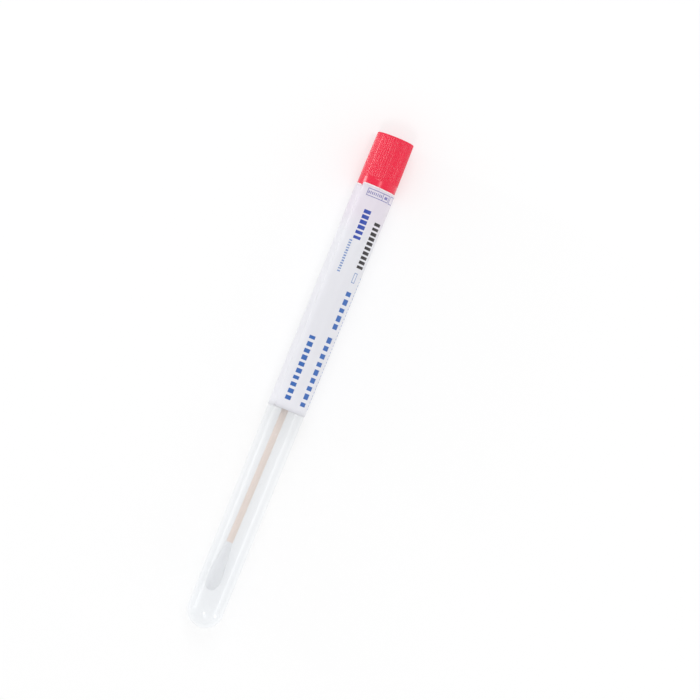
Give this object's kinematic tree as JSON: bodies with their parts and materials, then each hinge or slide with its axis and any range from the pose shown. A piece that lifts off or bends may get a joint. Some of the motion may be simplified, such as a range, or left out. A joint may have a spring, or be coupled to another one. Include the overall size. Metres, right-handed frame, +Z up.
{
  "type": "specimen swab tube",
  "caption": "Closed round-bottomed plastic tube holding a wooden cotton swab on its fluted push-in cap; the swab pulls out with the cap.",
  "frame": {"origin": "centre of the bounding box's lower face, on the surface that the tube lies on", "axes": "+X along the tube from its closed end to its cap, +Z up, +Y to the side that the stick bows towards"},
  "size_m": [0.1686, 0.0132, 0.0132],
  "materials": {
    "natural_polypropylene": "translucent natural polypropylene, smooth moulded gloss",
    "red_polyethylene": "solid red polyethylene, satin gloss",
    "birch_wood": "bare birch, fine straight grain",
    "cotton": "wound white cotton, matt",
    "label_film": "white label film, satin, with plain printed marks"
  },
  "bodies": {
    "labelled_tube": {"tube": "natural_polypropylene", "label": "label_film"},
    "swab": {"cap": "red_polyethylene", "stick": "birch_wood", "cotton_bud": "cotton"}
  },
  "joints": [
    {"name": "swab_pull", "type": "slide", "parent": "labelled_tube", "child": "swab", "axis": [1, 0, 0], "range_m": [0, 0.15]}
  ]
}
